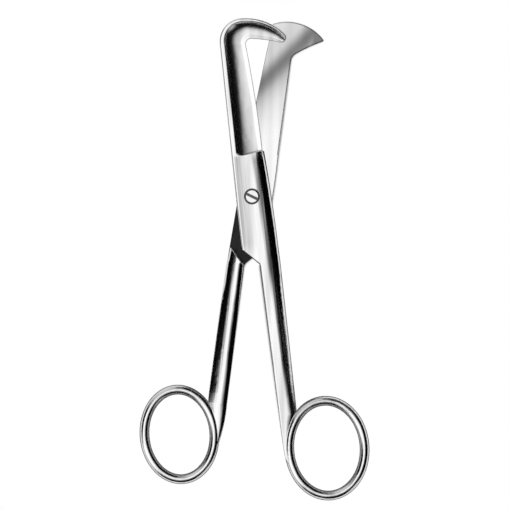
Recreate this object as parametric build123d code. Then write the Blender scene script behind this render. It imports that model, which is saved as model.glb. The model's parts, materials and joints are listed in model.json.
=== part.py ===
from build123d import *
import os
from math import cos, hypot, radians, sin, sqrt

os.makedirs("parts", exist_ok=True)

# Umbilical cord scissors, 16 cm: a hooked, hollow-ground jaw closes against a hatchet blade.
# Lengths are in millimetres and angles in degrees.
# Each lever is drawn with the jaws closed: pivot axis at x = y = 0, lap plane at z = 0, jaw
# towards +y, shank on the +x side, and its own half of the joint above the lap plane.
# The blade lever is then turned over about the y axis.

# Joint
LAP = 2.6  # thickness of one lever at the joint
LAP_CLEARANCE = 0.04  # gap between the two lap faces
REST_ANGLE = 12.0  # opening of the levers as they lie
JAW_ROOT = 14.4  # distance from the pivot to the start of the jaws
SHOULDER_HIGH = 17.0  # outer end of the slanted lap shoulder, below the pivot
SHOULDER_LOW = 22.3  # inner end of the shoulder, below the pivot
SHOULDER_REACH = 5.1  # how far the shoulder reaches to the side of the mate's shank
SHOULDER_CLEARANCE = 0.3  # gap between shoulder and mating step, levers closed
SHANK_CLEARANCE = 0.3  # gap between the two shanks, levers closed
LAP_ROUND = 0.6  # edge round of the lap plate, joint and jaw side
CROWN_WIDTH = 3.2  # broad round on the outer side of the joint
CROWN_DROP = 2.4
SHOULDER_BREAK = 0.35  # chamfer along the top of the mating step
FACE_TRIM = 0.02  # ground off the crowned joint face, which leaves a true flat

# Pivot screw
SHAFT_RADIUS = 1.6
BORE_CLEARANCE = 0.05
THREAD_CLEARANCE = 0.02
HEAD_RADIUS = 2.2
HEAD_GAP = 0.4  # round the head in its counterbore
HEAD_HEIGHT = 1.1
HEAD_SINK = 0.04  # head top below the joint face
HEAD_CHAMFER = 0.22
SLOT_WIDTH = 0.84
SLOT_DEPTH = 0.6
SLOT_ANGLE = -26.0
SCREW_END_SINK = 0.15  # screw end inside the underside of the blade lever

# Hook lever, joint edges measured from the pivot axis
HOOK_BACK = 5.25  # straight outer edge of hook and joint
HOOK_FRONT_ROOT = 5.5  # front edge at the jaw root
HOOK_FRONT_PIVOT = 6.35  # front edge beside the pivot
HOOK_FRONT_SHOULDER = 6.85  # front edge at the shoulder's outer end
HOOK_SHANK_TOP = 7.0  # outer edge of the shank at its top
HOOK_SHANK_BOTTOM = 7.2  # outer edge of the shank at the ring
HOOK_SPLAY = 1.0  # how far the inner edge leans out down to the ring

# Hook jaw
HOOK_HEIGHT = 58.2  # top of the hook above the pivot
HOOK_CORNER_RADIUS = 7.5
HOOK_TOP_RADIUS = 18.0
BEAK_ANGLE = 24.0  # place of the beak on the top arc, from +x
BEAK_ROUND = 1.6
BAY_ROOT = 4.97  # inner edge at the jaw root
BAY_CORNER_X = 2.95  # corner of the bay before rounding
ROOF_DEPTH = 6.6  # metal over the corner of the bay
BAY_CORNER_RADIUS = 1.8
BAY_BULGE = 0.41  # sagitta of the long inner edge
ROOF_BULGE = 0.57  # sagitta of the beak's under edge
HOOK_EDGE_ROUND = 0.5

# Hollow grind of the hook jaw
RIM_SIDE = 1.4  # flat rim left along the side
RIM_TOP = 0.95  # rim over the top of the hook
RIM_BEAK = 0.65  # rim at the beak
HOLLOW_FLOOR = 0.75  # metal left under the deepest line
BEVEL_WIDTH = 1.4  # flat along the cutting edge
EDGE_LAND = 0.9  # thickness left at the cutting edge
BEVEL_SHARE = 0.3  # most of a narrow section that the bevel takes
LIP_RISE = 0.35  # the hollow's curve starts this far above the joint face
LIP_BACK = 0.25  # and this far outside the rim's edge
WALL_PULL = 0.3  # control points of the hollow's curve, as shares of its width
FLOOR_PULL = 0.6
FLOOR_FALL = 0.12  # the curve still falls by this much at its last control point
SIDE_STATIONS = (-0.15, 0.25, 0.6, 1.0)  # sections up the side, as shares of its height
CORNER_STATIONS = 5
WINDOW_BACK = 0.2  # the step's window opens this far outside the wall
STEP_HEIGHT = 13.2  # lower end of the hollow above the pivot, outer side
STEP_RISE = 1.2  # how much higher the step is at the inner edge
STEP_CORNER = 2.3  # round of the hollow's lower outer corner
STEP_DRAFT = 12.0  # lean of the step's wall
CORNER_TURN = 86.0  # turn of the grind round the corner of the bay
BEAK_TURN = 44.0  # further turn out to the beak
BEAK_GRIND = 0.86  # share of the beak that the grind reaches

# Blade lever, joint edges measured from the pivot axis
BLADE_BACK_ROOT = 7.1
BLADE_BACK_PIVOT = 6.7
BLADE_FRONT_ROOT = 3.2
BLADE_FRONT_PIVOT = 4.4
BLADE_FRONT_SHOULDER = 5.55
BLADE_SHANK_TOP = 5.85
BLADE_SHANK_BOTTOM = 7.3
BLADE_SPLAY = 0.8

# Hatchet blade, heights measured down from the top of the hook
EDGE_TOP_X = -0.9  # upper end of the cutting edge
EDGE_TOP_DROP = 1.4
EDGE_BULGE = 0.3
HEAD_ARC_RADIUS = 15.0  # arc over the top of the head
HEAD_TIP_X = -18.2
HEAD_TIP_DROP = 5.2
HEAD_TIP_ROUND = 0.35
NECK_X = -8.1  # corner under the head before rounding
NECK_DROP = 11.3
NECK_RADIUS = 3.0
UNDER_HOLLOW = 0.35  # sagitta of the edge under the head
BLADE_TIP_THICKNESS = 1.7
BLADE_BEVEL_WIDTH = 3.4
BLADE_LAND = 0.3  # thickness left at the cutting edge
SPINE_BREAK = 0.25  # small chamfer along spine and head, on the side of the hook

# Shanks
HOOK_CROTCH_RISE = 17.5  # shank meets ring, above the middle of the opening
BLADE_CROTCH_RISE = 14.9
MIDDLE_SHARE = 0.6  # share of the outer edge's lean reached halfway down the shank
SHANK_HALF_MIDDLE = 2.35  # half thickness, from the joint's thickness down
SHANK_HALF_BOTTOM = 1.95
QUARTER = 0.0  # a round that runs on until it is upright
LENS = 45.0  # a round that stops at this angle of its ellipse, at a side left upright
HOOK_ROUNDS = ((0.1, 0.3, QUARTER), (0.52, 0.9, QUARTER))  # inner, outer: shares of width, half
BLADE_ROUNDS = ((0.36, 0.44, LENS), (0.5, 0.57, LENS))

# Finger rings, of oval wire
WIRE_WIDTH = 3.2
WIRE_THICKNESS = 3.8
HOOK_RING_X = 15.75
HOOK_RING_DOWN = 84.3
HOOK_RING_WIDTH = 21.4  # opening across
HOOK_RING_LENGTH = 27.8  # opening along
HOOK_RING_LEAN = -1.7
BLADE_RING_X = 15.45
BLADE_RING_DOWN = 79.75
BLADE_RING_WIDTH = 19.6
BLADE_RING_LENGTH = 26.1
BLADE_RING_LEAN = -11.0

# Tail of the shank beside the opening: places as shares of the opening's length from its middle
MEETING = 0.44
JOINING = 0.28
MERGING = -0.04
ENDING = -0.25
TAIL_HALVES = (1.8, 1.65, 1.5, 1.2)  # half thickness at each place
TAIL_PROUD = 0.1  # the tail stands this far out of the wire where it merges
TAIL_SINK = 0.5  # and ends this far inside it

LAP_FACE = LAP_CLEARANCE / 2
HALF_GAP = SHANK_CLEARANCE / 2
BAY_CORNER_Y = HOOK_HEIGHT - ROOF_DEPTH
EDGE_TOP_Y = HOOK_HEIGHT - EDGE_TOP_DROP
HEAD_TIP_Y = HOOK_HEIGHT - HEAD_TIP_DROP
NECK_Y = HOOK_HEIGHT - NECK_DROP
OVERCUT = 1.2  # cutting tools run this far past an edge
BEYOND = 40.0  # and this far past the whole of the metal
TOUCH = 0.01  # edges are picked to within this


def side_round(corner, across, up, start, stop):
    """Elliptical round of a section, from its own stop angle to the flat."""
    return EllipticalCenterArc(corner, across, up, start_angle=start, arc_size=90 - stop)


def bar_section(y, left, right, half, left_round, right_round):
    """Section of a lever square to y: flats joined by elliptical rounds of (width, drop, stop)."""
    left_width, left_drop, left_stop = left_round
    right_width, right_drop, right_stop = right_round
    left_across = left_width / cos(radians(left_stop))
    left_up = left_drop / (1 - sin(radians(left_stop)))
    right_across = right_width / cos(radians(right_stop))
    right_up = right_drop / (1 - sin(radians(right_stop)))
    left_flat = left + left_width
    right_flat = right - right_width
    left_side = half - left_drop
    right_side = half - right_drop
    outline = [
        Line((left_flat, half), (right_flat, half)),
        side_round((right_flat, half - right_up), right_across, right_up, right_stop, right_stop),
        Line((right, right_side), (right, -right_side)),
        side_round((right_flat, right_up - half), right_across, right_up, 270, right_stop),
        Line((right_flat, -half), (left_flat, -half)),
        side_round((left_flat, left_up - half), left_across, left_up, 180 + left_stop, left_stop),
        Line((left, -left_side), (left, left_side)),
        side_round((left_flat, half - left_up), left_across, left_up, 90, left_stop),
    ]
    return Plane(origin=(0, y, 0), x_dir=(1, 0, 0), z_dir=(0, -1, 0)) * make_face(outline)


def lap_section(y, left, right):
    """Section of the joint: small round on one side, broad crown on the other."""
    inner = (LAP_ROUND, LAP_ROUND, QUARTER)
    outer = (CROWN_WIDTH, CROWN_DROP, QUARTER)
    return bar_section(y, left, right, LAP + FACE_TRIM, inner, outer)


def shank_section(y, left, right, half, rounds):
    """Section of the shank: a flat between two rounds, given as shares of width and half."""
    sized = [(wide * (right - left), drop * half, stop) for wide, drop, stop in rounds]
    return bar_section(y, left, right, half, *sized)


def oval_left(y, centre_x, centre_y, half_width, half_length, lean):
    """Left boundary of a leaning oval at height y."""
    c = cos(radians(lean))
    s = sin(radians(lean))
    along = y - centre_y
    a = (c / half_width) ** 2 + (s / half_length) ** 2
    b = 2 * s * c * (1 / half_width**2 - 1 / half_length**2) * along
    d = ((s / half_width) ** 2 + (c / half_length) ** 2) * along**2 - 1
    return centre_x - (b + sqrt(b * b - 4 * a * d)) / (2 * a)


def finger_ring(centre_x, down, width, length, lean):
    """Ring of oval wire round a leaning oval opening."""
    path = Pos(centre_x, -down, 0) * Rot(0, 0, lean) * Ellipse(
        (width + WIRE_WIDTH) / 2, (length + WIRE_WIDTH) / 2
    ).edge()
    start = path.position_at(0)
    wire = Plane(origin=start, x_dir=(0, 0, 1), z_dir=path.tangent_at(0)) * Ellipse(
        WIRE_THICKNESS / 2, WIRE_WIDTH / 2
    )
    return sweep(wire, path=path)


def shank(shank_sizes, rounds, ring):
    """Shank from the shoulder down, with its tail running into the ring's wire."""
    top_right, bottom_right, splay, crotch = shank_sizes
    ring_x, down, width, length, lean = ring

    def inner(y):
        return HALF_GAP + splay * (-y - SHOULDER_LOW) / (crotch - SHOULDER_LOW)

    def wire_outer(y):
        return oval_left(y, ring_x, -down, width / 2 + WIRE_WIDTH, length / 2 + WIRE_WIDTH, lean)

    def wire_middle(y):
        return oval_left(y, ring_x, -down, (width + WIRE_WIDTH) / 2, (length + WIRE_WIDTH) / 2, lean)

    middle = (SHOULDER_LOW + crotch) / 2
    middle_right = top_right + (bottom_right - top_right) * MIDDLE_SHARE
    meeting = MEETING * length - down
    joining = JOINING * length - down
    merging = MERGING * length - down
    ending = ENDING * length - down
    stations = [
        (-SHOULDER_LOW, HALF_GAP, top_right, LAP),
        (-middle, inner(-middle), middle_right, SHANK_HALF_MIDDLE),
        (-crotch, inner(-crotch), bottom_right, SHANK_HALF_BOTTOM),
        (meeting, inner(meeting), bottom_right, TAIL_HALVES[0]),
        (joining, inner(joining), wire_middle(joining), TAIL_HALVES[1]),
        (merging, wire_outer(merging) - TAIL_PROUD, wire_middle(merging), TAIL_HALVES[2]),
        (ending, wire_outer(ending) + TAIL_SINK, wire_middle(ending) + TAIL_SINK, TAIL_HALVES[3]),
    ]
    faces = [shank_section(*station, rounds) for station in stations]
    upper = loft(faces[:3]) + loft(faces[2:4], ruled=True)
    return upper + loft(faces[3:6]) + loft(faces[5:], ruled=True)


def step_plan(clearance):
    """Plan of the space above the mating step, this far off the mate's shoulder."""
    run_x = SHOULDER_REACH + HALF_GAP
    run_y = SHOULDER_LOW - SHOULDER_HIGH
    run = hypot(run_x, run_y)
    along = Vector(run_x, run_y) / run
    off = Vector(run_y, -run_x) / run * clearance
    corner = Vector(-HALF_GAP, -SHOULDER_LOW) + off
    low = corner - along * run
    high = corner + along * 2 * run
    top = max(HOOK_HEIGHT, EDGE_TOP_Y) + BEYOND
    return Polygon(
        (low.X, low.Y), (high.X, high.Y), (BEYOND, top), (-BEYOND, top), (-BEYOND, low.Y), align=None
    )


def step_tool():
    """Clears the mate's side of the lap plane above the mating step, and breaks the step's edge."""
    space = Pos(0, 0, LAP_FACE) * extrude(step_plan(SHOULDER_CLEARANCE), -BEYOND)
    edge = extrude(step_plan(SHOULDER_CLEARANCE + SHOULDER_BREAK), SHOULDER_BREAK, taper=45)
    return space + Pos(0, 0, -LAP) * edge


def handle(root, pivot, shoulder, shank_sizes, rounds, ring):
    """Lap plate, shank and ring as one forging, before the jaw is added."""
    plate = loft(
        [
            lap_section(JAW_ROOT, *root),
            lap_section(0, *pivot),
            lap_section(-SHOULDER_HIGH, *shoulder),
        ]
    )
    neck = loft(
        [
            lap_section(-SHOULDER_HIGH, *shoulder),
            shank_section(-SHOULDER_LOW, HALF_GAP, shank_sizes[0], LAP, rounds),
        ],
        ruled=True,
    )
    body = plate + neck + shank(shank_sizes, rounds, ring) + finger_ring(*ring)
    ground = Pos(0, 0, LAP) * Box(4 * BEYOND, 8 * BEYOND, LAP, align=(Align.CENTER, Align.CENTER, Align.MIN))
    return body - ground - mirror(ground, Plane.XY) - step_tool()


def along_ray(start, angle, reach):
    """Point at a distance from start in a plan direction."""
    return Vector(start[0] + reach * cos(radians(angle)), start[1] + reach * sin(radians(angle)))


def ray_to_circle(start, angle, centre, radius):
    """Point where a ray from inside a circle leaves it."""
    offset = Vector(start[0] - centre[0], start[1] - centre[1])
    towards = offset.X * cos(radians(angle)) + offset.Y * sin(radians(angle))
    reach = sqrt(towards**2 + radius**2 - offset.X**2 - offset.Y**2) - towards
    return along_ray(start, angle, reach)


CORNER_CENTRE = (HOOK_CORNER_RADIUS - HOOK_BACK, HOOK_HEIGHT - HOOK_CORNER_RADIUS)
TOP_CENTRE = (CORNER_CENTRE[0], HOOK_HEIGHT - HOOK_TOP_RADIUS)
BEAK = along_ray(TOP_CENTRE, BEAK_ANGLE, HOOK_TOP_RADIUS)


def hook_edge(start, angle):
    """Where a ray from the bay meets the hook's outer edge."""
    if start[1] <= CORNER_CENTRE[1] and angle == 180:
        return Vector(-HOOK_BACK, start[1])
    top = ray_to_circle(start, angle, TOP_CENTRE, HOOK_TOP_RADIUS)
    if top.X >= CORNER_CENTRE[0]:
        return top
    return ray_to_circle(start, angle, CORNER_CENTRE, HOOK_CORNER_RADIUS)


def bay_edge_x(y):
    """Inner edge of the hook at height y: a long shallow arc."""
    share = (y - JAW_ROOT) / (BAY_CORNER_Y - JAW_ROOT)
    chord = BAY_ROOT + (BAY_CORNER_X - BAY_ROOT) * share
    return chord + 4 * BAY_BULGE * share * (1 - share)


def beak_edge_y(x):
    """Under edge of the beak at x."""
    share = (x - BAY_CORNER_X) / (BEAK.X - BAY_CORNER_X)
    chord = BAY_CORNER_Y + (BEAK.Y - BAY_CORNER_Y) * share
    return chord + 4 * ROOF_BULGE * share * (1 - share)


def hook_outline():
    """Plan of the hook: straight back, two outer arcs, beak and bay."""
    back_foot = (-HOOK_BACK, JAW_ROOT)
    corner_start = (-HOOK_BACK, CORNER_CENTRE[1])
    corner_middle = along_ray(CORNER_CENTRE, 135, HOOK_CORNER_RADIUS)
    corner_end = (CORNER_CENTRE[0], HOOK_HEIGHT)
    top_middle = along_ray(TOP_CENTRE, (90 + BEAK_ANGLE) / 2, HOOK_TOP_RADIUS)
    bay_corner = (BAY_CORNER_X, BAY_CORNER_Y)
    bay_foot = (BAY_ROOT, JAW_ROOT)
    plan = make_face(
        [
            Line(back_foot, corner_start),
            ThreePointArc(corner_start, corner_middle, corner_end),
            ThreePointArc(corner_end, top_middle, BEAK),
            SagittaArc(BEAK, bay_corner, -ROOF_BULGE),
            SagittaArc(bay_corner, bay_foot, BAY_BULGE),
            Line(bay_foot, back_foot),
        ]
    )
    plan = fillet(plan.vertices().sort_by_distance(BEAK)[0], BEAK_ROUND)
    return fillet(plan.vertices().sort_by_distance(bay_corner)[0], BAY_CORNER_RADIUS)


def hollow_section(edge, bay, rim):
    """Section of the hollow grind, from the rim on the outer edge down to the cutting edge."""
    across = bay - edge
    width = across.length
    direction = across / width
    ground = width - rim
    bevel = min(BEVEL_WIDTH, BEVEL_SHARE * ground)
    hollow = ground - bevel
    slope = (EDGE_LAND - HOLLOW_FLOOR) / bevel
    deep = HOLLOW_FLOOR + FLOOR_FALL
    top = LAP + LIP_RISE + OVERCUT
    lip = (rim - LIP_BACK, LAP + LIP_RISE)
    crest = (rim + hollow, HOLLOW_FLOOR)
    past = (width + OVERCUT, EDGE_LAND + slope * OVERCUT)
    outline = [
        Bezier(lip, (rim + WALL_PULL * hollow, deep), (rim + FLOOR_PULL * hollow, deep), crest),
        Line(crest, past),
        Line(past, (past[0], top)),
        Line((past[0], top), (lip[0], top)),
        Line((lip[0], top), lip),
    ]
    place = Plane(
        origin=(edge.X, edge.Y, 0),
        x_dir=(direction.X, direction.Y, 0),
        z_dir=(direction.Y, -direction.X, 0),
    )
    return place * make_face(outline)


def hollow_tool():
    """The ground hollow: up the side of the hook, round its corner and out to the beak."""
    centre = (BAY_CORNER_X + BAY_CORNER_RADIUS, BAY_CORNER_Y - BAY_CORNER_RADIUS)
    side = []
    for share in SIDE_STATIONS:
        y = JAW_ROOT + share * (centre[1] - JAW_ROOT)
        bay = Vector(bay_edge_x(y), y)
        side.append(hollow_section(hook_edge((bay.X, y), 180), bay, RIM_SIDE))
    corner = [side[-1]]
    for turn in range(1, CORNER_STATIONS + 1):
        share = turn / CORNER_STATIONS
        angle = 180 - CORNER_TURN * share
        bay = along_ray(centre, angle, BAY_CORNER_RADIUS)
        rim = RIM_SIDE + (RIM_TOP - RIM_SIDE) * share
        corner.append(hollow_section(hook_edge((bay.X, bay.Y), angle), bay, rim))
    beak = [corner[-1]]
    for turn in (1, 2, 3):
        x = bay.X + (BEAK.X - BEAK_ROUND - bay.X) * BEAK_GRIND * turn / 3
        under = Vector(x, beak_edge_y(x))
        rim = RIM_TOP + (RIM_BEAK - RIM_TOP) * turn / 3
        lean = 180 - CORNER_TURN - BEAK_TURN * turn / 3
        beak.append(hollow_section(hook_edge((under.X, under.Y), lean), under, rim))
    grind = loft(side) + loft(corner) + loft(beak)
    left = RIM_SIDE - HOOK_BACK - WINDOW_BACK
    window = Polygon(
        (left, STEP_HEIGHT),
        (BAY_ROOT, STEP_HEIGHT + STEP_RISE),
        (BEYOND, STEP_HEIGHT + STEP_RISE),
        (BEYOND, HOOK_HEIGHT + BEYOND),
        (left - BEYOND, HOOK_HEIGHT + BEYOND),
        (left - BEYOND, STEP_HEIGHT + BEYOND),
        (left, STEP_HEIGHT + BEYOND / 2),
        align=None,
    )
    window = fillet(window.vertices().sort_by_distance((left, STEP_HEIGHT))[0], STEP_CORNER)
    window = Pos(0, 0, LAP + LIP_RISE) * extrude(window, -LAP - OVERCUT, taper=STEP_DRAFT)
    return grind & window


def hook_jaw():
    """Plate of the hook with its outer edge rounded."""
    plate = Pos(0, 0, LAP_FACE) * extrude(hook_outline(), LAP - LAP_FACE)
    top = plate.edges().filter_by_position(Axis.Z, LAP - TOUCH, LAP + TOUCH)
    outer = [top.sort_by_distance((BEAK.X, BEAK.Y, LAP))[0]]
    for edge in top:
        middle = edge.position_at(0.5)
        from_corner = hypot(middle.X - CORNER_CENTRE[0], middle.Y - CORNER_CENTRE[1])
        from_top = hypot(middle.X - TOP_CENTRE[0], middle.Y - TOP_CENTRE[1])
        on_back = abs(middle.X + HOOK_BACK) < TOUCH
        on_corner = abs(from_corner - HOOK_CORNER_RADIUS) < TOUCH
        on_top = abs(from_top - HOOK_TOP_RADIUS) < TOUCH
        if on_back or on_corner or on_top:
            outer.append(edge)
    return fillet(outer, HOOK_EDGE_ROUND)


def blade_outline():
    """Plan of the hatchet blade, cutting edge on the +x side."""
    foot = (BLADE_FRONT_ROOT, JAW_ROOT)
    edge_top = (EDGE_TOP_X, EDGE_TOP_Y)
    tip = (HEAD_TIP_X, HEAD_TIP_Y)
    neck = (NECK_X, NECK_Y)
    spine = (-BLADE_BACK_ROOT, JAW_ROOT)
    plan = make_face(
        [
            SagittaArc(foot, edge_top, -EDGE_BULGE),
            RadiusArc(edge_top, tip, -HEAD_ARC_RADIUS),
            SagittaArc(tip, neck, UNDER_HOLLOW),
            Line(neck, spine),
            Line(spine, foot),
        ]
    )
    plan = fillet(plan.vertices().sort_by_distance(tip)[0], HEAD_TIP_ROUND)
    return fillet(plan.vertices().sort_by_distance(neck)[0], NECK_RADIUS)


def blade():
    """Blade plate, thinning to the head, bevelled to the cutting edge."""
    plate = Pos(0, 0, LAP_FACE) * extrude(blade_outline(), LAP - LAP_FACE)
    front = plate.edges().filter_by_position(Axis.Z, LAP_FACE - TOUCH, LAP_FACE + TOUCH)
    spine = [
        edge
        for edge in front
        if edge.position_at(0.5).X < EDGE_TOP_X and edge.position_at(0.5).Y > JAW_ROOT + TOUCH
    ]
    plate = chamfer(spine, SPINE_BREAK)
    top = HOOK_HEIGHT + OVERCUT
    side = Plane.YZ * Polygon(
        (JAW_ROOT, LAP), (top, BLADE_TIP_THICKNESS), (top, LAP + OVERCUT), (JAW_ROOT, LAP + OVERCUT), align=None
    )
    plate -= Pos(-BEYOND, 0, 0) * extrude(side, 2 * BEYOND)
    run = Vector(EDGE_TOP_X - BLADE_FRONT_ROOT, EDGE_TOP_Y - JAW_ROOT)
    across = Vector(run.Y, -run.X) / run.length
    slope = (LAP - BLADE_LAND) / BLADE_BEVEL_WIDTH
    start = Plane(
        origin=(BLADE_FRONT_ROOT, JAW_ROOT, 0),
        x_dir=(across.X, across.Y, 0),
        z_dir=(-run.X, -run.Y, 0),
    )
    wedge = start * Polygon(
        (EDGE_BULGE + OVERCUT, BLADE_LAND - slope * OVERCUT),
        (EDGE_BULGE + OVERCUT, LAP + OVERCUT),
        (EDGE_BULGE - BLADE_BEVEL_WIDTH - OVERCUT / slope, LAP + OVERCUT),
        align=None,
    )
    return plate - extrude(wedge, -2 * run.length)


def bored(body, radius):
    """Hole through the joint for the screw's shaft."""
    return body - Cylinder(radius, 4 * LAP)


def hook_lever():
    """Hook jaw and handle in one forging, bored and counterbored for the screw."""
    body = handle(
        (-HOOK_BACK, HOOK_FRONT_ROOT),
        (-HOOK_BACK, HOOK_FRONT_PIVOT),
        (-SHOULDER_REACH, HOOK_FRONT_SHOULDER),
        (HOOK_SHANK_TOP, HOOK_SHANK_BOTTOM, HOOK_SPLAY, HOOK_RING_DOWN - HOOK_CROTCH_RISE),
        HOOK_ROUNDS,
        (HOOK_RING_X, HOOK_RING_DOWN, HOOK_RING_WIDTH, HOOK_RING_LENGTH, HOOK_RING_LEAN),
    )
    body += hook_jaw()
    body -= hollow_tool()
    body = bored(body, SHAFT_RADIUS + BORE_CLEARANCE)
    seat = Cylinder(HEAD_RADIUS + HEAD_GAP, 2 * LAP, align=(Align.CENTER, Align.CENTER, Align.MIN))
    return body - Pos(0, 0, LAP - HEAD_SINK - HEAD_HEIGHT) * seat


def blade_lever():
    """Hatchet blade and handle in one forging, tapped for the screw."""
    body = handle(
        (-BLADE_BACK_ROOT, BLADE_FRONT_ROOT),
        (-BLADE_BACK_PIVOT, BLADE_FRONT_PIVOT),
        (-SHOULDER_REACH, BLADE_FRONT_SHOULDER),
        (BLADE_SHANK_TOP, BLADE_SHANK_BOTTOM, BLADE_SPLAY, BLADE_RING_DOWN - BLADE_CROTCH_RISE),
        BLADE_ROUNDS,
        (BLADE_RING_X, BLADE_RING_DOWN, BLADE_RING_WIDTH, BLADE_RING_LENGTH, BLADE_RING_LEAN),
    )
    body += blade()
    return bored(body, SHAFT_RADIUS + THREAD_CLEARANCE)


def pivot_screw():
    """Slotted cheese-head screw, its shaft down into the blade lever."""
    top = LAP - HEAD_SINK
    bottom = SCREW_END_SINK - LAP
    up = (Align.CENTER, Align.CENTER, Align.MIN)
    head = Cylinder(HEAD_RADIUS, HEAD_HEIGHT, align=up)
    head = chamfer(head.edges().sort_by(Axis.Z)[-1], HEAD_CHAMFER)
    body = Pos(0, 0, bottom) * Cylinder(SHAFT_RADIUS, top - bottom - HEAD_CHAMFER, align=up)
    body += Pos(0, 0, top - HEAD_HEIGHT) * head
    slot = Box(4 * HEAD_RADIUS, SLOT_WIDTH, 2 * SLOT_DEPTH)
    return body - Pos(0, 0, top) * Rot(0, 0, SLOT_ANGLE) * slot


raise_to_rest = Pos(0, 0, LAP)
pieces = {
    "hook_lever": raise_to_rest * Rot(0, 0, REST_ANGLE / 2) * hook_lever(),
    "blade_lever": raise_to_rest * Rot(0, 0, -REST_ANGLE / 2) * Rot(0, 180, 0) * blade_lever(),
    "pivot_screw": raise_to_rest * pivot_screw(),
}
for name, piece in pieces.items():
    export_step(piece, f"parts/{name}.step")
    print(name, round(piece.volume, 1), len(piece.solids()), piece.is_valid, piece.bounding_box().size)
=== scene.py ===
# %% [markdown]
# # Umbilical cord scissors in polished steel
# These scissors are three pieces of stainless steel: a lever with a hollow-ground hook, a lever with
# a hatchet blade, and the slotted screw that holds the two. Nothing on them is soft, printed or
# painted, so the whole lesson is about one thing that beginners find hard: a mirror-like metal has
# no colour of its own, and only looks like steel when there is something right for it to mirror.
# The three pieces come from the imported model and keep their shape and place. This script gives them
# their finishes, then lays them on a white table under a studio sky.

import json
import math

import bpy
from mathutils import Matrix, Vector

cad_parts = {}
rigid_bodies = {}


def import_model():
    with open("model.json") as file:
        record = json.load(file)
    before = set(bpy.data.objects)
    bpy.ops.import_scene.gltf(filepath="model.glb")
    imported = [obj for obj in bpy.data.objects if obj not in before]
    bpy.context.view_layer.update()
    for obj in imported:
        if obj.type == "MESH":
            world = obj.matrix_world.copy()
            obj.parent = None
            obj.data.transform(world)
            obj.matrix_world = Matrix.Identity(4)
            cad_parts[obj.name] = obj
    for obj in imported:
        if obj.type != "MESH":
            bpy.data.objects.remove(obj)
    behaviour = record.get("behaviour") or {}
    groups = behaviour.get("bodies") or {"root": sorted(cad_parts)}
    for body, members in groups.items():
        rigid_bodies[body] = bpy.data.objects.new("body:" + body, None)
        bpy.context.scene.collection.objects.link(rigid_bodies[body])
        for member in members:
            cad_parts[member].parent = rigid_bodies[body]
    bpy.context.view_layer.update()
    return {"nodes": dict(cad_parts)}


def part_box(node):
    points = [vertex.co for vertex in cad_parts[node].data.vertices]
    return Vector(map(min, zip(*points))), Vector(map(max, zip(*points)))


for leftover in list(bpy.data.objects):
    bpy.data.objects.remove(leftover)
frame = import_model()
nodes = frame["nodes"]
scene = bpy.context.scene
MM = 0.001
for name in sorted(nodes):
    low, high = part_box(name)
    size = [round((high[i] - low[i]) / MM, 1) for i in range(3)]
    print(name, "measures", size, "mm and has", len(nodes[name].data.polygons), "faces")

# %% [markdown]
# ## Colours and nodes
# Colours are written as the hex values that a screen shows, and one function turns them into the
# linear numbers that the shaders use. A second small function adds a node, fills in its settings
# and sockets, and joins its links, so that each finish below reads as a short list of steps. A
# third one empties the nodes of a new material or world, which Blender fills with a default shader.

# %% Three helpers
def linear(hex_colour):
    """An sRGB hex colour as a linear RGBA tuple."""
    parts = [int(hex_colour[i : i + 2], 16) / 255 for i in (1, 3, 5)]
    return tuple(p / 12.92 if p <= 0.04045 else ((p + 0.055) / 1.055) ** 2.4 for p in parts) + (1.0,)


def add(tree, kind, settings=None, **inputs):
    """Adds a node and returns its first enabled output.

    Inputs are values, or sockets to link. Each goes by its name, or by its number as i0, i1 and on.
    """
    node = tree.nodes.new(kind)
    for key, value in (settings or {}).items():
        setattr(node, key, value)
    for key, value in inputs.items():
        numbered = key[0] == "i" and key[1:].isdigit()
        socket = node.inputs[int(key[1:]) if numbered else key.replace("_", " ")]
        if isinstance(value, bpy.types.NodeSocket):
            tree.links.new(value, socket)
        else:
            socket.default_value = value
    return next((output for output in node.outputs if output.enabled), None)


def new_tree(owner):
    """Empties the node tree of a material or world and returns it."""
    owner.use_nodes = True
    owner.node_tree.nodes.clear()
    return owner.node_tree


print("the middle grey of a screen is", round(linear("#808080")[0], 2), "in linear numbers")

# %% [markdown]
# ## Wheel marks
# The levers are forged from stainless steel, ground, then buffed on cloth wheels until they mirror.
# That leaves a very low roughness, but never an even one: fine marks run along the instrument and
# make the mirror image a little softer in some places. They could come from a photograph of steel,
# but a noise stretched along Y needs no file and fits every face. Real marks are hundredths of a
# millimetre wide. They are drawn 0.3 mm wide here, about one pixel, because finer ones would not
# show. Object coordinates are used throughout, so the finish stays on the metal when the jaws move.

# %% Wheel marks
MARK_WIDTH = 0.3 * MM
MARK_LENGTH = 30 * MM
GLOSS = (0.06, 0.13)


def wheel_marks(tree, place):
    """Roughness of buffed steel, which changes from mark to mark."""
    grain = (1 / MARK_WIDTH, 1 / MARK_LENGTH, 1 / MARK_WIDTH)
    drawn = add(tree, "ShaderNodeMapping", Vector=place, Scale=grain)
    marks = add(tree, "ShaderNodeTexNoise", Vector=drawn, Scale=1.0, Detail=3.0)
    return add(tree, "ShaderNodeMapRange", Value=marks, To_Min=GLOSS[0], To_Max=GLOSS[1])


print("a wheel mark is", round(MARK_LENGTH / MARK_WIDTH), "times as long as it is wide")

# %% [markdown]
# ## Soft waves
# A face that was buffed by hand is never quite flat. Its waves are far too shallow to see as shape,
# but they bend the mirror image, and that tells the eye that the steel was finished by hand. A
# second noise, much broader than the marks and also stretched along the instrument, gives their
# height, and a Bump node turns it into a lean of the surface.

# %% Soft waves
WAVE_STRETCH = 12


def soft_waves(tree, place, size):
    """Height of the waves from 0 to 1, for waves of this size across the instrument."""
    along = (1 / size, 1 / (size * WAVE_STRETCH), 1 / size)
    stretched = add(tree, "ShaderNodeMapping", Vector=place, Scale=along)
    return add(tree, "ShaderNodeTexNoise", Vector=stretched, Scale=1.0, Detail=1.0)


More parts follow.
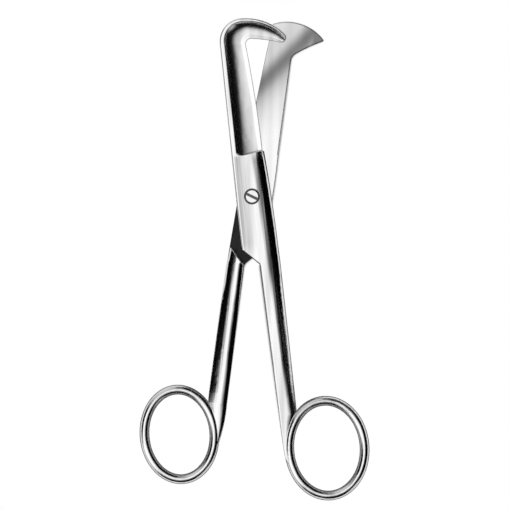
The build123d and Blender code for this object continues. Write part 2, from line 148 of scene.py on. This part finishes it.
print("a wave is", WAVE_STRETCH, "times as long as it is wide")

# %% [markdown]
# ## One steel with zones
# The wheel does not reach every face, and some faces are finished in another way. Some zones also
# take a darker tone as painted shade or a painted reflection. Instead of cutting the mesh into parts
# with a material each, one function makes the buffed steel and lays zones over it. A zone is a tone,
# a roughness and a mask, and a later zone covers an earlier one.
# Buffing also breaks every sharp edge, which the Bevel node shows in the shading. The mesh stays as
# it is. Where a wheel has carried metal away, a second Bump node adds that loss.

# %% One steel with zones
STEEL = "#dedede"
EDGE_BREAK = 0.45 * MM
BEVEL_SAMPLES = 8


def steel(name, *zones, wave_size, wave_depth, edge_break=EDGE_BREAK, worn_away=None):
    """Buffed steel with zones, which are each a tone, a roughness and a function for the mask.

    edge_break is a length, or a function that makes one. worn_away is a function for lost metal.
    """
    material = bpy.data.materials.new(name)
    tree = new_tree(material)
    place = add(tree, "ShaderNodeTexCoord").node.outputs["Object"]
    colour = linear(STEEL)
    gloss = wheel_marks(tree, place)
    for tone, rough, mask in zones:
        share = mask(tree, place)
        colour = add(
            tree, "ShaderNodeMix", {"data_type": "RGBA"}, Factor=share, i6=colour, i7=linear(tone)
        )
        gloss = add(tree, "ShaderNodeMix", {"data_type": "FLOAT"}, Factor=share, i2=gloss, i3=rough)
    if callable(edge_break):
        edge_break = edge_break(tree, place)
    bend = add(tree, "ShaderNodeBevel", {"samples": BEVEL_SAMPLES}, Radius=edge_break)
    waves = soft_waves(tree, place, wave_size)
    bend = add(tree, "ShaderNodeBump", Height=waves, Distance=wave_depth, Strength=1.0, Normal=bend)
    if worn_away:
        lost = worn_away(tree, place)
        bend = add(tree, "ShaderNodeBump", Height=lost, Distance=1.0, Strength=1.0, Normal=bend)
    shader = add(
        tree, "ShaderNodeBsdfPrincipled", Base_Color=colour, Metallic=1.0, Roughness=gloss, Normal=bend
    )
    add(tree, "ShaderNodeOutputMaterial", Surface=shader)
    return material


print("edges are broken by", round(EDGE_BREAK / MM, 2), "mm")

# %% [markdown]
# ## Round the screw
# The screw's head sits in a counterbore of the hook lever. No wheel reaches into it, so it keeps
# the dull surface that cutting gave it. Its tone is also darkened as painted shade, which stands
# for the shade in the recess and shows as a dark ring. The ring needs no painted map: the distance
# from the pivot and the height already say where it is. Its edge is crisp, so the broken edge is
# thin there, and grows to its full width farther out.

# %% Round the screw
# The tone below is painted shade: it darkens the counterbore and the screw's slot for the shade in these
# recesses, on top of their rougher finish.
SUNK_PAINTED_SHADE = "#6a6a6a"
SUNK_ROUGHNESS = 0.4
COUNTERBORE_RADIUS = 2.61 * MM  # a hair more than the wall's own, so that the wall is inside
SCREW_SEAT = (3.0 * MM, 4.2 * MM)
CRISP_BREAK = EDGE_BREAK / 5
EDGE_SOFTNESS = 0.03 * MM
JOINT_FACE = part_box("hook_lever")[1][2]


def from_pivot(tree, place):
    """How far a place is from the pivot's axis."""
    x, y, z = add(tree, "ShaderNodeSeparateXYZ", Vector=place).node.outputs
    flat = add(tree, "ShaderNodeCombineXYZ", X=x, Y=y)
    return add(tree, "ShaderNodeVectorMath", {"operation": "LENGTH"}, i0=flat)


def in_counterbore(tree, place):
    """Mask of the counterbore's wall and floor, which get a rougher finish and painted shade."""
    x, y, z = add(tree, "ShaderNodeSeparateXYZ", Vector=place).node.outputs
    radius = from_pivot(tree, place)
    inside = add(tree, "ShaderNodeMath", {"operation": "LESS_THAN"}, i0=radius, i1=COUNTERBORE_RADIUS)
    face = JOINT_FACE - EDGE_SOFTNESS
    sunk = add(tree, "ShaderNodeMath", {"operation": "LESS_THAN"}, i0=z, i1=face)
    return add(tree, "ShaderNodeMath", {"operation": "MULTIPLY"}, i0=inside, i1=sunk)


def crisp_round_screw(tree, place):
    """Edge break in metres: full on the lever, and almost none where the screw is seated."""
    radius = from_pivot(tree, place)
    near, far = SCREW_SEAT
    return add(
        tree,
        "ShaderNodeMapRange",
        Value=radius,
        From_Min=near,
        From_Max=far,
        To_Min=CRISP_BREAK,
        To_Max=EDGE_BREAK,
    )


counterbore = (SUNK_PAINTED_SHADE, SUNK_ROUGHNESS, in_counterbore)
print("the joint's face is", round(JOINT_FACE / MM, 2), "mm above the table")

# %% [markdown]
# ## Places across and along a lever
# The jaws lie open by 12 degrees, so each lever is turned by 6 degrees from the middle line. The
# finishes that follow run along their lever, and so they need places measured across and along it.
# A Mapping node turns the place back by those 6 degrees. A flip of X for the blade lever lets the
# outer side lie on the positive side of both. The streaks of a belt or wheel run along the lever
# too: they are a noise twice as coarse as the wheel marks, with nothing across the thickness.

# %% Lever frame and streaks
HALF_OPENING = math.radians(6)
HOOK_SIDE = 1
BLADE_SIDE = -1
STREAK_WIDTH = 2 * MARK_WIDTH


def lever_frame(tree, place, side):
    """A place across and along a lever, with X growing towards the lever's outer side."""
    turned = add(tree, "ShaderNodeMapping", Vector=place, Rotation=(0, 0, -side * HALF_OPENING))
    flip = (side, 1, 1)
    return add(tree, "ShaderNodeVectorMath", {"operation": "MULTIPLY"}, i0=turned, i1=flip)


def fine_streaks(tree, turned):
    """Streaks along a lever, from 0 to 1, at a place in the lever's frame."""
    grain = (1 / STREAK_WIDTH, 1 / MARK_LENGTH, 0)
    drawn = add(tree, "ShaderNodeVectorMath", {"operation": "MULTIPLY"}, i0=turned, i1=grain)
    return add(tree, "ShaderNodeTexNoise", Vector=drawn, Scale=1.0, Detail=2.0)


print("a streak is", round(STREAK_WIDTH / MM, 2), "mm wide")

# %% [markdown]
# ## Sides that the wheel has rolled off
# Along the outer side of the joint and of the shanks a buffing wheel presses over the edge and
# carries metal away, so that the flat turns down slowly. That gives each side a broad black band,
# which frays towards the flat. The solids have a narrower round there. The rest of the turn could
# be modelled too, but a loss of metal in the Bump node leaves the measured outline as it is. Its
# inner limit leans a little, wanders with the streaks and fades out at both ends.

# %% Rolled-off sides
STREAK_WANDER = 0.24 * MM


def rolled_off(side, edge, taper, start, end, ends):
    """Makes the function for how far the wheel has rolled off an outer side, from 0 to 1.

    It starts and ends at these distances from the edge, which leans by the taper. Each pair in ends
    is a place along the lever where the roll-off is gone and one where it is whole.
    """

    def rolled_share(tree, place):
        turned = lever_frame(tree, place, side)
        x, y, z = add(tree, "ShaderNodeSeparateXYZ", Vector=turned).node.outputs
        streaks = fine_streaks(tree, turned)
        leant = add(tree, "ShaderNodeMath", {"operation": "MULTIPLY_ADD"}, i0=y, i1=taper, i2=x)
        frayed = add(
            tree, "ShaderNodeMath", {"operation": "MULTIPLY_ADD"}, i0=streaks, i1=STREAK_WANDER, i2=leant
        )
        share = add(
            tree,
            "ShaderNodeMapRange",
            {"interpolation_type": "SMOOTHSTEP"},
            Value=frayed,
            From_Min=edge - start,
            From_Max=edge - end,
        )
        for gone, whole in ends:
            fade = add(
                tree,
                "ShaderNodeMapRange",
                {"interpolation_type": "SMOOTHSTEP"},
                Value=y,
                From_Min=gone,
                From_Max=whole,
            )
            share = add(tree, "ShaderNodeMath", {"operation": "MULTIPLY"}, i0=share, i1=fade)
        return share

    return rolled_share


def worn(rolled, depth):
    """Makes the function for the height lost there, in metres."""

    def lost_metal(tree, place):
        share = rolled(tree, place)
        return add(tree, "ShaderNodeMath", {"operation": "MULTIPLY"}, i0=share, i1=-depth)

    return lost_metal


front_roll = rolled_off(
    side=HOOK_SIDE,
    edge=6.45 * MM,
    taper=0.043,
    start=4.9 * MM,
    end=1.0 * MM,
    ends=((-78 * MM, -62 * MM), (15.5 * MM, 11 * MM)),
)
shank_roll = rolled_off(
    side=BLADE_SIDE,
    edge=5.5 * MM,
    taper=0.022,
    start=4.0 * MM,
    end=0.8 * MM,
    ends=((-74 * MM, -60 * MM), (-10 * MM, -14 * MM)),
)
FRONT_WEAR = 0.6 * MM
SHANK_WEAR = 0.45 * MM
print("the wheel takes up to", round(FRONT_WEAR / MM, 2), "and", round(SHANK_WEAR / MM, 2), "mm off")

# %% [markdown]
# ## Streaks on the rolled-off sides
# Where the black band begins, the real steel is neither black nor white: single streaks of the
# wheel show as greys. A rougher zone gives that, because it blurs the bright and the dark of the
# room into each other. Its mask is the share of the roll-off times the square of what is left, a
# curve that is highest a third of the way in, so that the band itself stays black.

# %% Streaks on the rolled-off sides
FRONT_STREAK_ROUGHNESS = 0.34
SHANK_STREAK_ROUGHNESS = 0.3
STREAK_SPREAD = (0.35, 0.65)
STREAK_STRENGTH = (2.5, 6.8)


def streaked(rolled, side):
    """Makes the mask for the streaks along the inner third of a roll-off."""

    def streak_share(tree, place):
        share = rolled(tree, place)
        left = add(tree, "ShaderNodeMath", {"operation": "SUBTRACT"}, i0=1.0, i1=share)
        middle = add(tree, "ShaderNodeMath", {"operation": "MULTIPLY"}, i0=share, i1=left)
        inner = add(tree, "ShaderNodeMath", {"operation": "MULTIPLY"}, i0=middle, i1=left)
        streaks = fine_streaks(tree, lever_frame(tree, place, side))
        grey = add(
            tree,
            "ShaderNodeMapRange",
            Value=streaks,
            From_Min=STREAK_SPREAD[0],
            From_Max=STREAK_SPREAD[1],
            To_Min=STREAK_STRENGTH[0],
            To_Max=STREAK_STRENGTH[1],
        )
        clamped = {"operation": "MULTIPLY", "use_clamp": True}
        return add(tree, "ShaderNodeMath", clamped, i0=inner, i1=grey)

    return streak_share


front_streaks = (STEEL, FRONT_STREAK_ROUGHNESS, streaked(front_roll, HOOK_SIDE))
shank_streaks = (STEEL, SHANK_STREAK_ROUGHNESS, streaked(shank_roll, BLADE_SIDE))
peak = 1 / 3 * (2 / 3) ** 2
weakest, strongest = (round(min(peak * strength, 1), 2) for strength in STREAK_STRENGTH)
print("at its peak the mask is between", weakest, "and", strongest)

# %% [markdown]
# ## Belt marks and a painted reflection on the joint
# The joint's face is ground on a fine belt before it is buffed, and on the side away from the
# roll-off the belt's marks are never quite polished out, so this zone is rougher. Its grey tone is
# also a painted reflection, which stands for the shade that the face mirrors there. The zone lies
# inside a bright rim and fades towards the middle, so the eye reads the face as flat. Streaks drive
# the mask, and each limit is a place where it is gone and a place where it is whole.

# %% Belt marks and a painted reflection on the joint
# The tone below is partly a painted reflection: its grey stands for the shade that the joint's face
# mirrors, on top of the rougher belt marks.
BRUSHED_AND_PAINTED_REFLECTION = "#7c7c7c"
BELT_ROUGHNESS = 0.25
BELT_SPREAD = (0.3, 0.7)
BELT_SHARE = (0.3, 0.75)
BACK_EDGE = -5.25 * MM
RIM = 0.75 * MM
RIM_SOFTNESS = 0.1 * MM
BELT_REACH = 0.6 * MM
BELT_TOP = (14 * MM, 13 * MM)
BELT_BOTTOM = (-20 * MM, -15 * MM)
BELT_LEVEL = (JOINT_FACE - 0.2 * MM, JOINT_FACE - 0.1 * MM)


def belt_and_reflection_mask(tree, place):
    """Mask of the belt marks and their painted reflection along the back of the joint's face."""
    turned = lever_frame(tree, place, HOOK_SIDE)
    x, y, z = add(tree, "ShaderNodeSeparateXYZ", Vector=turned).node.outputs
    share = add(
        tree,
        "ShaderNodeMapRange",
        Value=fine_streaks(tree, turned),
        From_Min=BELT_SPREAD[0],
        From_Max=BELT_SPREAD[1],
        To_Min=BELT_SHARE[0],
        To_Max=BELT_SHARE[1],
    )
    inside_rim = BACK_EDGE + RIM
    for source, gone, whole in (
        (x, inside_rim, inside_rim + RIM_SOFTNESS),
        (x, BELT_REACH, inside_rim + RIM),
        (y, *BELT_TOP),
        (y, *BELT_BOTTOM),
        (z, *BELT_LEVEL),
    ):
        limit = add(tree, "ShaderNodeMapRange", Value=source, From_Min=gone, From_Max=whole)
        share = add(tree, "ShaderNodeMath", {"operation": "MULTIPLY"}, i0=share, i1=limit)
    return share


brushed_and_reflection = (BRUSHED_AND_PAINTED_REFLECTION, BELT_ROUGHNESS, belt_and_reflection_mask)
print("the belt marks fade out over", round((BELT_REACH - BACK_EDGE - 2 * RIM) / MM, 2), "mm")

# %% [markdown]
# ## The hollow of the hook
# A small wheel has ground a hollow inside the hook, which follows its bend. No buffing wheel
# reaches into it fully, so it is a little softer than the faces round it, and its light and dark
# run into each other. The flat along the cutting edge is ground last and stays bright, so the mask
# ends before it: a line that leans with the bevel's foot, and higher up the roof of the bay.

# %% The hollow of the hook
HOLLOW_ROUGHNESS = 0.21
HOLLOW_START = 13 * MM
FACE_MARGIN = 0.1 * MM
BEVEL_LEAN = 0.055
BEVEL_FOOT = (3.4 * MM, 4.2 * MM)
BAY_CORNER = (46 * MM, 51 * MM)


def in_hollow(tree, place):
    """Mask of the hollow in the hook jaw, without the flat along the cutting edge."""
    turned = lever_frame(tree, place, HOOK_SIDE)
    x, y, z = add(tree, "ShaderNodeSeparateXYZ", Vector=turned).node.outputs
    face = JOINT_FACE - FACE_MARGIN
    jaw = add(tree, "ShaderNodeMath", {"operation": "GREATER_THAN"}, i0=y, i1=HOLLOW_START)
    sunk = add(tree, "ShaderNodeMath", {"operation": "LESS_THAN"}, i0=z, i1=face)
    share = add(tree, "ShaderNodeMath", {"operation": "MULTIPLY"}, i0=jaw, i1=sunk)
    leant = add(tree, "ShaderNodeMath", {"operation": "MULTIPLY_ADD"}, i0=y, i1=BEVEL_LEAN, i2=x)
    near, far = BEVEL_FOOT
    wall = add(tree, "ShaderNodeMapRange", Value=leant, From_Min=far, From_Max=near)
    low, high = BAY_CORNER
    roof = add(tree, "ShaderNodeMapRange", Value=y, From_Min=low, From_Max=high)
    reached = add(tree, "ShaderNodeMath", {"operation": "MAXIMUM"}, i0=wall, i1=roof)
    return add(tree, "ShaderNodeMath", {"operation": "MULTIPLY"}, i0=share, i1=reached)


hollow = (STEEL, HOLLOW_ROUGHNESS, in_hollow)
print("the hollow is masked from", round(HOLLOW_START / MM, 1), "mm above the pivot")

# %% [markdown]
# ## Faces that are only ground, with painted shade
# The lap face of the blade lever slides on the hook lever, so it is ground and never buffed. The
# slot in the screw's head is cut and left as it is. Both are rougher than the buffed faces, and both
# get a dark tone as painted shade: the lap face for the shadow of the hook lever, the slot for the
# shade in its recess. Their height says where they are. The lap face also has a limit above the
# pivot and one to its right, which keep the mask off the jaw and the outer side.

# %% Lap face and slot
# The tone below is a painted shadow: it darkens the lap face for the shadow of the hook lever, on top of
# its rougher ground finish.
LAP_PAINTED_SHADOW = "#2c2c2c"
GROUND_ROUGHNESS = 0.4
LAP_FACE = JOINT_FACE / 2
LAP_END = 2 * MM
SLOT_FLOOR = 4.56 * MM
SLOT_WALL = 0.45 * MM


def on_lap(tree, place):
    """Mask of the blade lever's lap face, below the pivot and to its left, for its finish and painted
    shadow.
    """
    x, y, z = add(tree, "ShaderNodeSeparateXYZ", Vector=place).node.outputs
    below = add(tree, "ShaderNodeMath", {"operation": "LESS_THAN"}, i0=y, i1=LAP_END)
    left = add(tree, "ShaderNodeMath", {"operation": "LESS_THAN"}, i0=x, i1=LAP_END)
    level = add(tree, "ShaderNodeMath", {"operation": "COMPARE"}, i0=z, i1=LAP_FACE, i2=EDGE_SOFTNESS)
    corner = add(tree, "ShaderNodeMath", {"operation": "MULTIPLY"}, i0=below, i1=left)
    return add(tree, "ShaderNodeMath", {"operation": "MULTIPLY"}, i0=corner, i1=level)


def in_slot(tree, place):
    """Mask of the slot's floor and walls, and of all of the screw that lies below its face, where shade
    is painted.
    """
    x, y, z = add(tree, "ShaderNodeSeparateXYZ", Vector=place).node.outputs
    top = SLOT_FLOOR + SLOT_WALL
    return add(tree, "ShaderNodeMath", {"operation": "LESS_THAN"}, i0=z, i1=top)


lap = (LAP_PAINTED_SHADOW, GROUND_ROUGHNESS, on_lap)
# The slot's zone takes the same painted shade as the counterbore, with the same rougher finish.
slot = (SUNK_PAINTED_SHADE, SUNK_ROUGHNESS, in_slot)
print("the lap face is", round(LAP_FACE / MM, 2), "mm above the table")

# %% [markdown]
# ## The satin band across the blade, with a painted reflection
# The broad face of the hatchet blade is finished on a belt held at a slant. A satin band stays
# across it, which is rougher than the rest, and its tone is darkened as a painted reflection of the
# dark room. A colour ramp along that slant gives the band one dark stripe with softer ones beside
# it, and the tip of the head is satin and painted dark too. Only the jaw has the band, so it fades in
# above the joint.

# %% The satin band across the blade, with a painted reflection
# The tone below is a painted reflection: it darkens the satin band as if it mirrored the dark room, on
# top of its rougher finish.
SATIN_PAINTED_REFLECTION = "#5c5c5c"
SATIN_ROUGHNESS = 0.5
BAND_START = 8 * MM
BAND_END = 34 * MM
BAND_STEPS = ((0.0, 0.0), (0.3, 0.12), (0.48, 0.35), (0.62, 1.0), (0.74, 0.2), (0.84, 0.3), (1.0, 0.12))
BAND_FADE = (14 * MM, 26 * MM)
HEAD_TIP = (15 * MM, 20.5 * MM)
TIP_SHARE = 0.75


def across_blade(tree, place):
    """Mask of the satin and its painted reflection on the blade: the slant band and the tip of the head.
    """
    x, y, z = add(tree, "ShaderNodeSeparateXYZ", Vector=place).node.outputs
    difference = add(tree, "ShaderNodeMath", {"operation": "SUBTRACT"}, i0=y, i1=x)
    across = add(tree, "ShaderNodeMath", {"operation": "MULTIPLY"}, i0=difference, i1=math.sqrt(0.5))
    along = add(tree, "ShaderNodeMapRange", Value=across, From_Min=BAND_START, From_Max=BAND_END)
    stripes = add(tree, "ShaderNodeValToRGB", Fac=along)
    ramp = stripes.node.color_ramp
    ramp.interpolation = "B_SPLINE"
    for position, share in BAND_STEPS[1:-1]:
        ramp.elements.new(position)
    for stop, (position, share) in zip(ramp.elements, BAND_STEPS):
        stop.color = (share, share, share, 1.0)
    start, end = BAND_FADE
    jaw = add(tree, "ShaderNodeMapRange", Value=y, From_Min=start, From_Max=end)
    band = add(tree, "ShaderNodeMath", {"operation": "MULTIPLY"}, i0=stripes, i1=jaw)
    start, end = HEAD_TIP
    tip = add(tree, "ShaderNodeMapRange", Value=x, From_Min=start, From_Max=end, To_Max=TIP_SHARE)
    return add(tree, "ShaderNodeMath", {"operation": "MAXIMUM"}, i0=band, i1=tip)


slant = (SATIN_PAINTED_REFLECTION, SATIN_ROUGHNESS, across_blade)
print("the band is drawn over", round((BAND_END - BAND_START) / MM), "mm with", len(BAND_STEPS), "steps")

# %% [markdown]
# ## The three finishes
# The hook lever is buffed by hand all over and has the strongest waves. The blade lever is ground
# on a belt, which keeps it flatter. The screw is turned on a lathe: it has almost no waves and
# crisp edges. All three share one colour and one range of gloss, because they are the same steel.

# %% The three finishes
LEVER_WAVES = 5 * MM
SCREW_WAVES = 2 * MM

finishes = {
    "hook_lever": steel(
        "buffed stainless steel",
        brushed_and_reflection,
        front_streaks,
        hollow,
        counterbore,
        wave_size=LEVER_WAVES,
        wave_depth=0.35 * MM,
        edge_break=crisp_round_screw,
        worn_away=worn(front_roll, FRONT_WEAR),
    ),
    "blade_lever": steel(
        "belt-ground stainless steel",
        shank_streaks,
        slant,
        lap,
        wave_size=LEVER_WAVES,
        wave_depth=0.2 * MM,
        worn_away=worn(shank_roll, SHANK_WEAR),
    ),
    "pivot_screw": steel(
        "turned stainless steel",
        slot,
        wave_size=SCREW_WAVES,
        wave_depth=0.01 * MM,
        edge_break=CRISP_BREAK,
    ),
}
for name, material in finishes.items():
    nodes[name].data.materials.clear()
    nodes[name].data.materials.append(material)
    print(name, "is", material.name, "with", len(material.node_tree.nodes), "nodes")

# %% [markdown]
# ## The table
# The scissors lie on a plain white table. The camera sees it as white, as it would under a strong
# studio flash, while it lights the metal only as a pale surface would. Ambient Occlusion paints a
# contact shadow into that white close to the steel, so the pale rims of the instrument keep a thin
# outline. The table that the steel mirrors gets a painted shadow that reaches farther: a rim that
# leans down mirrors the strip beside it, which would be too bright otherwise and leave the rim
# white on white.

# %% Table
TABLE_SIZE = 3.0
TABLE_PAINT = "#e8e8e8"
SEEN_REACH = 1.5 * MM
SEEN_OPENNESS = (0.45, 0.75)
MIRRORED_REACH = 12 * MM
MIRRORED_OPENNESS = (0.89, 0.99)
# The white that is left in the deepest painted contact shadow.
DEEPEST_PAINTED_SHADOW = 0.08


def white_table():
    """Pale paint that the camera and the steel see as white, with a painted contact shadow as dark
    outlines at the steel.
    """
    material = bpy.data.materials.new("white table")
    tree = new_tree(material)
    path = add(tree, "ShaderNodeLightPath").node.outputs
    shades = []
    for reach, (dark, full) in ((SEEN_REACH, SEEN_OPENNESS), (MIRRORED_REACH, MIRRORED_OPENNESS)):
        sky_share = add(tree, "ShaderNodeAmbientOcclusion", Distance=reach).node.outputs["AO"]
        shade = add(
            tree,
            "ShaderNodeMapRange",
            Value=sky_share,
            From_Min=dark,
            From_Max=full,
            To_Min=DEEPEST_PAINTED_SHADOW,
        )
        shades.append(shade)
    mirrored = path["Is Glossy Ray"]
    openness = add(
        tree, "ShaderNodeMix", {"data_type": "FLOAT"}, Factor=mirrored, i2=shades[0], i3=shades[1]
    )
    seen = path["Is Camera Ray"]
    for ray in (mirrored, path["Is Transmission Ray"]):
        seen = add(tree, "ShaderNodeMath", {"operation": "MAXIMUM"}, i0=seen, i1=ray)
    paint = add(tree, "ShaderNodeBsdfDiffuse", Color=linear(TABLE_PAINT))
    white = add(tree, "ShaderNodeEmission", Color=linear("#ffffff"), Strength=openness)
    mix = add(tree, "ShaderNodeMixShader", i0=seen, i1=paint, i2=white)
    add(tree, "ShaderNodeOutputMaterial", Surface=mix)
    return material


bpy.ops.mesh.primitive_plane_add(size=TABLE_SIZE, location=(0, 0, 0))
table = bpy.context.object
table.name = "table"
table.data.materials.append(white_table())
print("the table is", TABLE_SIZE, "m wide")

# %% [markdown]
# ## Panels of light
# Polished metal needs something dark to mirror as well as something bright. Lamps would show in it
# as hard shapes, so the light comes from the world: soft round panels on a dark room. A direction
# from the room is compared with the middle of a panel by their dot product, the cosine of the angle
# between them, and a Map Range node fades the panel out over its edge.

# %% One panel
def towards(azimuth, tilt):
    """Direction in the room: azimuth counted from +X, tilt from overhead, both in degrees."""
    a, t = math.radians(azimuth), math.radians(tilt)
    return (math.sin(t) * math.cos(a), math.sin(t) * math.sin(a), math.cos(t))


def patch(tree, direction, azimuth, tilt, core, edge, falloff=1.0):
    """A soft round patch of the room, 1 within the core angle and 0 beyond the edge angle."""
    middle = towards(azimuth, tilt)
    facing = add(
        tree, "ShaderNodeVectorMath", {"operation": "DOT_PRODUCT"}, i0=direction, i1=middle
    )
    share = add(
        tree,
        "ShaderNodeMapRange",
        Value=facing,
        From_Min=math.cos(math.radians(edge)),
        From_Max=math.cos(math.radians(core)),
    )
    return add(tree, "ShaderNodeMath", {"operation": "POWER"}, i0=share, i1=falloff)


print("a face that leans by 20 degrees mirrors", [round(part, 2) for part in towards(0, 40)])

# %% [markdown]
# ## The studio sky
# Seen from straight above, a face that leans by some angle mirrors the spot of the room at twice
# that angle. So one panel overhead, a little to the left, turns the flats white, and a second one
# low on the left keeps the left sides pale. The rest of the room is dark and gives every right-hand
# side its black band. A dark screen hides a part of the left panel, so that the left shank gets its
# second black band. Three weaker panels stand farther round, because the steel would be almost
# black when it is looked at from the sides. Behind the table the camera sees only white, and below
# 5 degrees the steel does too, as if a white backdrop stood round the table.

# %% Sky
ROOM = 0.001
SKY_STRENGTH = 1.4
BACKDROP_TOP = 5.0
OVERHEAD = dict(azimuth=170, tilt=14, core=7, edge=50, falloff=2.0)
LOW_LEFT = dict(azimuth=192, tilt=42, core=20, edge=34)
SCREEN = dict(azimuth=160, tilt=58, core=18, edge=32)
SIDE_PANELS = (
    (0.6, dict(azimuth=118, tilt=62, core=12, edge=33)),
    (0.6, dict(azimuth=208, tilt=62, core=8, edge=24)),
    (0.4, dict(azimuth=315, tilt=76, core=4, edge=17)),
)


def room_light(tree, direction):
    """Brightness of the room: the two main panels behind their screen, and the side panels."""
    overhead = patch(tree, direction, **OVERHEAD)
    low_left = patch(tree, direction, **LOW_LEFT)
    screen = patch(tree, direction, **SCREEN)
    light = add(tree, "ShaderNodeMath", {"operation": "MAXIMUM"}, i0=overhead, i1=low_left)
    light = add(tree, "ShaderNodeMix", {"data_type": "FLOAT"}, Factor=screen, i2=light, i3=ROOM)
    for share, spot in SIDE_PANELS:
        panel = patch(tree, direction, **spot)
        panel = add(tree, "ShaderNodeMath", {"operation": "MULTIPLY"}, i0=panel, i1=share)
        light = add(tree, "ShaderNodeMath", {"operation": "MAXIMUM"}, i0=light, i1=panel)
    return add(tree, "ShaderNodeMath", {"operation": "MAXIMUM"}, i0=light, i1=ROOM)


def backdrop(tree, direction):
    """Where white is seen: everywhere by the camera, and low down by mirrors and glass."""
    path = add(tree, "ShaderNodeLightPath").node.outputs
    x, y, height = add(tree, "ShaderNodeSeparateXYZ", Vector=direction).node.outputs
    top = math.sin(math.radians(BACKDROP_TOP))
    low = add(tree, "ShaderNodeMapRange", Value=height, From_Min=top, From_Max=top / 2)
    glossy, through = path["Is Glossy Ray"], path["Is Transmission Ray"]
    mirrored = add(tree, "ShaderNodeMath", {"operation": "MAXIMUM"}, i0=glossy, i1=through)
    mirrored = add(tree, "ShaderNodeMath", {"operation": "MULTIPLY"}, i0=mirrored, i1=low)
    seen = path["Is Camera Ray"]
    return add(tree, "ShaderNodeMath", {"operation": "MAXIMUM"}, i0=seen, i1=mirrored)


def studio_sky():
    """World of soft panels in a dark room, with a white backdrop."""
    world = bpy.data.worlds.new("studio sky")
    tree = new_tree(world)
    direction = add(tree, "ShaderNodeTexCoord").node.outputs["Generated"]
    light = room_light(tree, direction)
    sky = add(tree, "ShaderNodeBackground", Color=light, Strength=SKY_STRENGTH)
    white = add(tree, "ShaderNodeBackground", Color=linear("#ffffff"), Strength=1.0)
    seen = backdrop(tree, direction)
    shown = add(tree, "ShaderNodeMixShader", i0=seen, i1=sky, i2=white)
    add(tree, "ShaderNodeOutputWorld", Surface=shown)
    return world


scene.world = studio_sky()
print("the sky has", len(scene.world.node_tree.nodes), "nodes and", len(SIDE_PANELS), "side panels")

# %% [markdown]
# ## The camera
# A catalogue picture of an instrument is taken from straight above with a long lens, so that both
# levers keep their true proportions. The frame is a little wider than the instrument is long.

# %% Camera
VIEW_WIDTH = 166.8 * MM
VIEW_CENTRE = (0.98 * MM, -19.1 * MM)
CAMERA_HEIGHT = 2.0
SENSOR_WIDTH = 36.0
SIGHT_END = 10.0

lens = bpy.data.cameras.new("long lens")
lens.sensor_fit = "HORIZONTAL"
lens.sensor_width = SENSOR_WIDTH
lens.lens = SENSOR_WIDTH * CAMERA_HEIGHT / VIEW_WIDTH
lens.clip_end = SIGHT_END
camera = bpy.data.objects.new("camera", lens)
camera.location = (*VIEW_CENTRE, CAMERA_HEIGHT)
scene.collection.objects.link(camera)
bpy.context.scene.camera = camera
scene.view_settings.view_transform = "Standard"
print("the lens is", round(lens.lens), "mm long")
